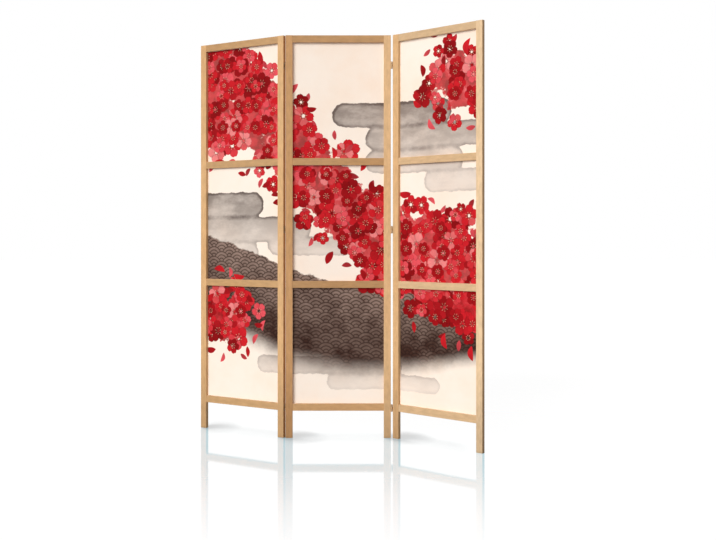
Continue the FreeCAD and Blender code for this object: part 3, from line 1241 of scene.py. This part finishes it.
def grid_quads(rows: int, columns: int, first: int = 0, flip: bool = False) -> np.ndarray:
    """The faces of a grid of points that is numbered row by row.

    Args:
        rows: Points up.
        columns: Points across.
        first: The number of the grid's first point.
        flip: Whether the faces look the other way.

    Returns:
        Four point numbers for each face.
    """
    numbers = first + np.arange(rows * columns).reshape(rows, columns)
    corners = (numbers[:-1, :-1], numbers[:-1, 1:], numbers[1:, 1:], numbers[1:, :-1])
    quads = np.stack([corner.ravel() for corner in corners], axis=1)
    return quads[:, ::-1] if flip else quads


def sheet_quads(rows: int, columns: int) -> np.ndarray:
    """The faces of a thin sheet: a grid in front, one behind it, and a strip round their edge.

    Args:
        rows: Points up on each grid.
        columns: Points across on each grid. Those of the grid behind follow those of the front.

    Returns:
        Four point numbers for each face.
    """
    count = rows * columns
    numbers = np.arange(count).reshape(rows, columns)
    rim = np.concatenate([numbers[0, :-1], numbers[:-1, -1], numbers[-1, :0:-1], numbers[:0:-1, 0]])
    after = np.roll(rim, -1)
    edge = np.stack([after, rim, rim + count, after + count], axis=1)
    return np.concatenate([grid_quads(rows, columns), grid_quads(rows, columns, count, flip=True), edge])


def new_mesh_object(name: str, points: np.ndarray, quads: np.ndarray) -> bpy.types.Object:
    """Makes an object at the origin.

    Args:
        name: The object's name.
        points: Its points, one to a row.
        quads: Four point numbers for each face.

    Returns:
        The object.
    """
    mesh = bpy.data.meshes.new(name)
    mesh.from_pydata(points.tolist(), [], quads.tolist())
    mesh.validate()
    mesh.update()
    made = bpy.data.objects.new(name, mesh)
    bpy.context.scene.collection.objects.link(made)
    return made


def node_points(node: str) -> np.ndarray:
    """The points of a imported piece.

    Args:
        node: The piece's name.

    Returns:
        The points, one to a row.
    """
    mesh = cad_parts[node].data
    points = np.empty(len(mesh.vertices) * 3, np.float32)
    mesh.vertices.foreach_get("co", points)
    return points.reshape(-1, 3).astype(float)


# The panels

@dataclass(frozen=True)
class PanelPlace:
    """Where a panel stands: its sheet's centre, unit vectors along it and out of it, and its half width."""

    centre: tuple[float, float]
    along: tuple[float, float]
    out: tuple[float, float]
    half_width: float

    @classmethod
    def of(cls, side: Side) -> "PanelPlace":
        """Reads the place of one panel.

        The sheet seen from above is a thin rectangle, so the direction in which its points spread
        most is along the panel, and the direction square to it that points at -Y is out of its face.

        Args:
            side: Which panel.

        Returns:
            Its place.
        """
        flat = node_points(side.body + "_print_sheet")[:, :2]
        corners = np.unique(np.round(flat, 6), axis=0)
        centre = (corners.min(0) + corners.max(0)) / 2
        along = np.linalg.svd(corners - corners.mean(0))[2][0]
        along = along * np.sign(along[0])
        out = np.array([along[1], -along[0]])
        edge = (node_points(side.body + "_right_stile")[:, :2] - centre) @ along
        return cls(tuple(centre.tolist()), tuple(along.tolist()), tuple(out.tolist()), float(edge.max()))

    @property
    def turn(self) -> float:
        """The panel's turn about the upright, in radians."""
        return math.atan2(self.along[1], self.along[0])

    def local(self, points: np.ndarray) -> np.ndarray:
        """Points as distance along the panel, distance out of its sheet and height."""
        flat = points[:, :2] - self.centre
        return np.column_stack([flat @ self.along, flat @ self.out, points[:, 2]])

    def world(self, points: np.ndarray) -> np.ndarray:
        """The reverse of local."""
        flat = np.outer(points[:, 0], self.along) + np.outer(points[:, 1], self.out) + self.centre
        return np.column_stack([flat, points[:, 2]])

    def extent(self, node: str) -> tuple[np.ndarray, np.ndarray]:
        """The lowest and highest corner of a piece in the panel's own directions."""
        points = self.local(node_points(node))
        return points.min(0), points.max(0)


@dataclass
class ClothSheet:
    """One panel's printed cloth, drawn tight in its rebate and behind the rails."""

    side: Side
    place: PanelPlace
    column_start: float
    cloth: bpy.types.Material
    point_pitch: float = 8 * MILLIMETRE
    thickness: float = 0.35 * MILLIMETRE
    seat_gap: float = 0.06 * MILLIMETRE
    belly: float = 0.9 * MILLIMETRE
    ripple: float = 0.16 * MILLIMETRE
    ripple_pitch: float = 62 * MILLIMETRE
    window_step: float = 1.9
    panel_step: float = 7.0

    def windows(self) -> tuple[tuple[float, float], list[tuple[float, float]]]:
        """The openings of the frame, which the stiles and the rails leave.

        Returns:
            One span across, and a span of heights for each opening.
        """
        left = self.place.extent(self.side.body + "_left_stile")[1][0]
        right = self.place.extent(self.side.body + "_right_stile")[0][0]
        rails = [self.place.extent(f"{self.side.body}_{rail}") for rail in RAILS]
        spans = [(float(low[2]), float(high[2])) for low, high in rails]
        heights = [(lower[1], upper[0]) for lower, upper in zip(spans, spans[1:])]
        return (left, right), heights

    def slack(self, across: np.ndarray, up: np.ndarray) -> np.ndarray:
        """How far the cloth lies behind its seat at each point.

        In each window it is the product of two parabolas that are one at the middle and nothing at
        the bars, times a belly, plus a shallow sine ripple across that fades to the bars alike.

        Args:
            across: The points' distances along the panel.
            up: Their heights.

        Returns:
            The distances behind the seat.
        """
        (left, right), heights = self.windows()
        beside = np.clip((across - (left + right) / 2) / ((right - left) / 2), -1, 1)
        slack = np.zeros_like(across)
        for number, (low, high) in enumerate(heights):
            level = np.clip((up - (low + high) / 2) / ((high - low) / 2), -1, 1)
            swell = (1 - beside**2) * (1 - level**2)
            start = number * self.window_step + self.column_start * self.panel_step
            wave = np.sin(FULL_TURN * across / self.ripple_pitch + start)
            slack += swell * self.belly + np.sqrt(swell) * swell * wave * self.ripple
        return slack

    def build(self) -> bpy.types.Object:
        """Makes the sheet: two grids a thickness apart, closed by a strip round the edge.

        Returns:
            The sheet's object, which the floor doesn't mirror.
        """
        low, high = self.place.extent(self.side.body + "_print_sheet")
        columns = round((high[0] - low[0]) / self.point_pitch) + 1
        rows = round((high[2] - low[2]) / self.point_pitch) + 1
        across, up = np.meshgrid(np.linspace(low[0], high[0], columns), np.linspace(low[2], high[2], rows))
        seat = high[1] - self.seat_gap - self.slack(across, up)
        face = np.stack([across, seat, up], axis=-1).reshape(-1, 3)
        flat = np.concatenate([face, face - np.array([0, self.thickness, 0])])
        points = self.place.world(flat)
        sheet = new_mesh_object(self.side.body + "_cloth", points, sheet_quads(rows, columns))
        self.dress(sheet, flat, len(face))
        sheet.visible_glossy = False
        return sheet

    def dress(self, sheet: bpy.types.Object, flat: np.ndarray, count: int) -> None:
        """Gives the sheet its place on the print, its face and its material.

        Args:
            sheet: The sheet's object.
            flat: Its points in the panel's own directions.
            count: How many of them, from the first, are on the face.
        """
        mesh = sheet.data
        corners = np.empty(len(mesh.loops), np.int32)
        mesh.loops.foreach_get("vertex_index", corners)
        print_place = np.column_stack([flat[:, 0] + self.column_start, flat[:, 2]])[corners]
        layer = mesh.uv_layers.new(name=PRINT.uv_name)
        layer.data.foreach_set("uv", print_place.astype(np.float32).ravel())
        face = mesh.attributes.new(PRINT.face_name, "FLOAT", "POINT")
        share = (np.arange(len(flat)) < count).astype(np.float32)
        face.data.foreach_set("value", share)
        mesh.polygons.foreach_set("use_smooth", np.ones(len(mesh.polygons), bool))
        mesh.materials.append(self.cloth)


@dataclass
class FramePanel:
    """One panel of the screen: its bars, its cloth and its staples."""

    side: Side
    place: PanelPlace
    seed: int
    stiles: tuple[Plank, Plank]
    rails: tuple[Plank, Plank, Plank, Plank]

    @property
    def width(self) -> float:
        """The panel's width, from the outer side of one stile to that of the other."""
        left = self.place.extent(self.side.body + "_left_stile")[0][0]
        return float(self.place.extent(self.side.body + "_right_stile")[1][0] - left)

    def dress_bars(self) -> None:
        """Gives each bar a piece of pine of its own."""
        pine = PineFinish()
        bars = [(name, Grain.UPRIGHT, plank) for name, plank in zip(STILES, self.stiles)]
        bars += [(name, Grain.LEVEL, plank) for name, plank in zip(RAILS, self.rails)]
        for number, (bar, grain, plank) in enumerate(bars):
            node = f"{self.side.body}_{bar}"
            material = pine.make(node + "_pine", self.place, grain, self.seed + number, plank)
            dress_node(node, material)

    def hang_cloth(self, cloth: bpy.types.Material, column_start: float) -> None:
        """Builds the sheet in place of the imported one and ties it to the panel.

        Args:
            cloth: The printed cloth.
            column_start: Where on the print the middle of the panel lies.
        """
        sheet = ClothSheet(self.side, self.place, column_start, cloth).build()
        node = self.side.body + "_print_sheet"
        low, high = self.place.extent(node)
        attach(sheet, self.side.body)
        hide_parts(node)
        [f"{self.side.body}_{bar}" for bar in STILES + RAILS]
        log.info("%s: %d faces", sheet.name, len(sheet.data.polygons))


def dress_node(node: str, material: bpy.types.Material) -> None:
    """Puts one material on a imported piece.

    Args:
        node: The piece's name.
        material: The material.
    """
    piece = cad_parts[node]
    piece.data.materials.clear()
    piece.data.materials.append(material)
    log.info("%s: %s", node, material.name)


# Each bar's level and shares hold its own tone and painted light and shade, like the darker, deeper middle
# stile by the left fold.
PLANKS = {
    Side.LEFT: (
        (Plank(0.93), Plank(0.94, 0.0, 0.0, -0.06)),
        (Plank(0.76, 0.04), Plank(0.77, 0.06), Plank(0.74, 0.08), Plank(0.73, 0.10)),
    ),
    Side.MIDDLE: (
        (Plank(0.84, 0.52), Plank(0.95, 0.0, 0.16)),
        (Plank(0.78, 0.22), Plank(0.68, 0.34), Plank(0.73, 0.30), Plank(0.73, 0.30)),
    ),
    Side.RIGHT: (
        (Plank(0.93, 0.0, 0.06), Plank(0.95, 0.0, 0.60, 0.27)),
        (Plank(0.81, 0.0, 0.34), Plank(0.84, 0.0, 0.38), Plank(0.83, 0.0, 0.32), Plank(0.80, 0.0, 0.40)),
    ),
}


@dataclass(frozen=True)
class Screen:
    """The whole folding screen."""

    brass: MetalFinish = MetalFinish(
        "hinge_brass", Tone(190, 156, 116), Tone(156, 128, 94), 0.19, metallic=0.3
    )
    steel: MetalFinish = MetalFinish("staple_steel_wire", Tone(190, 192, 194), Tone(140, 142, 146), 0.13)
    seed_step: int = 10

    def build(self) -> None:
        """Dresses the frames and hinges and hangs the three sheets, whose print runs on across them."""
        cloth = PRINT.make("printed_cloth")
        brass = self.brass.make()
        steel = self.steel.make()
        column_start = -float(PanelPlace.of(Side.LEFT).extent(Side.LEFT.body + "_print_sheet")[0][0])
        for number, side in enumerate(Side, 1):
            panel = FramePanel(side, PanelPlace.of(side), self.seed_step * number, *PLANKS[side])
            panel.dress_bars()
            panel.hang_cloth(cloth, column_start)
            dress_node(side.body + "_staples", steel)
            column_start += panel.width
        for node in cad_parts:
            if "_hinge_" in node or node.endswith("_screws"):
                dress_node(node, brass)


# The studio

@dataclass(frozen=True)
class Lamp:
    """A broad soft lamp far away, by its compass direction, height and level on a facing surface."""

    name: str
    azimuth: float
    elevation: float
    level: float
    spread: float
    distance: float = 6.0
    shadow: bool = True
    mirrored: bool = True

    def hang(self) -> None:
        """Makes the lamp. A surface that faces it is lit to the lamp's level."""
        light = bpy.data.lights.new(self.name, "SUN")
        light.energy = self.level * math.pi
        light.angle = math.radians(self.spread)
        light.use_shadow = self.shadow
        holder = bpy.data.objects.new(self.name, light)
        holder.visible_glossy = self.mirrored
        azimuth, elevation = math.radians(self.azimuth), math.radians(self.elevation)
        towards = Vector((
            math.sin(azimuth) * math.cos(elevation),
            -math.cos(azimuth) * math.cos(elevation),
            math.sin(elevation),
        ))
        holder.rotation_euler = towards.to_track_quat("Z", "Y").to_euler()
        holder.location = towards * self.distance
        bpy.context.scene.collection.objects.link(holder)


@dataclass(frozen=True)
class Studio:
    """A white room: an even world, a key from the front left, a low fill behind and a glossy floor."""

    ambient: float = 0.33
    floor_reach: float = 30.0
    bounce: float = 0.34
    floor_matt: float = 0.20
    floor_glow: float = 0.87
    foot_shade: float = 0.32
    foot_blocked: float = 0.13
    foot_reach: float = 0.16
    foot_samples: int = 24
    foot_side: tuple[float, float, float] = (-0.93, -0.10, 0.354)
    # Past this mark on the right, the painted shade beside the feet fades out.
    shade_end: float = 0.58
    shade_end_fade: float = 0.08
    mirror_tint: tuple[float, float, float] = (1.0, 0.66, 0.55)
    gloss: float = 2.8
    gloss_most: float = 0.60
    gloss_ior: float = 1.5
    gloss_roughness: float = 0.06
    fade_start: float = 0.30
    fade_end: float = 1.72
    lamps: tuple[Lamp, ...] = (
        Lamp("key", -32.0, 22.0, 0.82, 40.0),
        Lamp("back_fill", 162.0, 25.0, 0.50, 60.0, shadow=False, mirrored=False),
    )

    @staticmethod
    def seen_share(graph: Graph) -> Field:
        """One for rays from the camera, from gloss or through glass, and nothing for the rest.

        Args:
            graph: The graph of the world or the floor.

        Returns:
            The share.
        """
        path = graph.add("LightPath", {})
        kinds = ("Camera", "Glossy", "Transmission")
        camera, glossy, through = [Field(graph, path.outputs[f"Is {kind} Ray"]) for kind in kinds]
        return camera.most(glossy).most(through)

    def light_world(self) -> None:
        """Makes the even world, which is white where it is seen and dimmer where it lights."""
        world = bpy.data.worlds.new("white_room")
        graph = empty_graph(world)
        strength = self.seen_share(graph) * (1 - self.ambient) + self.ambient
        background = graph.add("Background", {"Color": (1.0, 1.0, 1.0, 1.0), "Strength": strength})
        graph.add("OutputWorld", {"Surface": background.outputs[0]})
        bpy.context.scene.world = world

    def foot_light(self, graph: Graph) -> Field:
        """What is left of the light beside the feet, a short way to the side away from the key.

        It falls with how much of a half sphere close by, tilted to one side, is blocked, and it is painted
        into the floor's colour as shade. Past a mark on the right the painted shade fades out, so the last
        foot on the right has none.

        Args:
            graph: The floor's graph.

        Returns:
            The share that is left.
        """
        inputs = {"Distance": self.foot_reach, "Normal": graph.vector(*self.foot_side)}
        blocked = 1.0 - graph.value("AmbientOcclusion", inputs, "AO", samples=self.foot_samples)
        x = graph.split(graph.value("TexCoord", {}, "Object"))[0]
        beside = x.ramp(self.shade_end, self.shade_end - self.shade_end_fade)
        shaded = blocked.ramp(0.0, self.foot_blocked) * beside
        return 1.0 - shaded * self.foot_shade

    def mirror_share(self, graph: Graph) -> Field:
        """How strong the reflection is: it grows as the view flattens and fades away from the feet.

        Args:
            graph: The floor's graph.

        Returns:
            The share.
        """
        fresnel = graph.value("Fresnel", {"IOR": self.gloss_ior})
        x, y, _ = graph.split(graph.value("TexCoord", {}, "Object"))
        beyond = graph.length((abs(x) - cad_box[1].x).most(0.0), y)
        fade = beyond.ramp(self.fade_end, self.fade_start)
        return (fresnel * self.gloss).least(self.gloss_most) * fade

    def floor_material(self) -> bpy.types.Material:
        """White, with soft shadows and a reflection that fades away from the screen's feet.

        The reflection's tint and what it takes from the white below add up to white again, so that
        warm wood is reflected as a neutral grey.

        Returns:
            The material.
        """
        material, graph = new_material("white_floor")
        seen = self.seen_share(graph)
        share = self.mirror_share(graph) * seen
        light = self.foot_light(graph)
        shine = [share * part for part in self.mirror_tint]
        rest = graph.vector(*[(1.0 - part) * light for part in shine])
        mirrored = graph.vector(*[part * light for part in shine])
        white = seen * (self.floor_matt - self.bounce) + self.bounce
        matt = graph.add("BsdfDiffuse", {"Color": graph.shade(rest, white)})
        glow = graph.add("Emission", {"Color": rest, "Strength": seen * self.floor_glow})
        mirror = graph.add("BsdfGlossy", {"Color": mirrored, "Roughness": self.gloss_roughness})
        lit = graph.add("AddShader", {0: matt.outputs[0], 1: glow.outputs[0]})
        surface = graph.add("AddShader", {0: lit.outputs[0], 1: mirror.outputs[0]})
        graph.add("OutputMaterial", {"Surface": surface.outputs[0]})
        return material

    def lay_floor(self) -> None:
        """Makes the floor as one large square at the screen's feet."""
        reach = self.floor_reach
        points = np.array([[-reach, -reach, 0], [reach, -reach, 0], [reach, reach, 0], [-reach, reach, 0]])
        floor = new_mesh_object("studio_floor", points, np.array([[0, 1, 2, 3]]))
        floor.data.materials.append(self.floor_material())

    def set_up(self) -> None:
        """Makes the world, the lamps and the floor."""
        self.light_world()
        for lamp in self.lamps:
            lamp.hang()
        self.lay_floor()
        bpy.context.scene.view_settings.view_transform = "Standard"


@dataclass(frozen=True)
class Viewpoint:
    """The photograph's camera: level, square to the middle panel and a little to its right."""

    image_width: float = 716.0
    image_height: float = 540.0
    focal_pixels: float = 947.3
    horizon_row: float = 236.6
    distance: float = 4.045
    to_the_right: float = 0.0847
    eye_height: float = 0.860
    sensor_width: float = 36.0

    def set_up(self) -> None:
        """Makes the camera and gives it to the scene."""
        place = PanelPlace.of(Side.MIDDLE)
        face = float(place.extent(Side.MIDDLE.body + "_left_stile")[1][1])
        data = bpy.data.cameras.new("photo_camera")
        data.sensor_width = self.sensor_width
        data.lens = self.focal_pixels / self.image_width * self.sensor_width
        data.shift_y = (self.horizon_row - self.image_height / 2) / self.image_width
        camera = bpy.data.objects.new("photo_camera", data)
        front = place.centre[1] - face
        camera.location = (place.centre[0] + self.to_the_right, front - self.distance, self.eye_height)
        camera.rotation_euler = (math.pi / 2, 0, 0)
        bpy.context.scene.collection.objects.link(camera)
        bpy.context.scene.camera = camera


def main() -> None:
    """Builds the camera, the studio and the screen."""
    logging.basicConfig(level=logging.INFO, format="%(name)s: %(message)s")
    Viewpoint().set_up()
    Studio().set_up()
    Screen().build()


if __name__ == "__main__":
    main()
